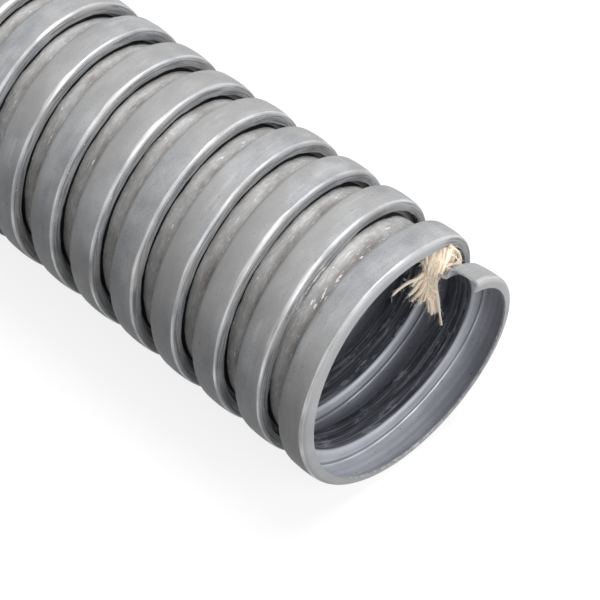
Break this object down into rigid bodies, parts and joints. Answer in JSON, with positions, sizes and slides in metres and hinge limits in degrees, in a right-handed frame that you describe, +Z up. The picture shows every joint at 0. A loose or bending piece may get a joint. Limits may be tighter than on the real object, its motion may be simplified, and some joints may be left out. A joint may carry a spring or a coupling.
{
  "type": "flexible metal conduit",
  "caption": "Straight cut length of strip-wound steel flexible conduit with a cotton packing yarn locked in its helical seam.",
  "frame": {"origin": "on the floor, below the middle of the conduit's length", "axes": "+X along the conduit towards the mouth whose strip end shows, +Z up"},
  "size_m": [0.305, 0.06, 0.06],
  "materials": {
    "galvanised_strip": "dull zinc-galvanised rolled strip",
    "cotton_yarn": "undyed cotton yarn"
  },
  "bodies": {
    "root": {"wound_steel_strip": "galvanised_strip", "packing_yarn": "cotton_yarn"}
  },
  "joints": []
}
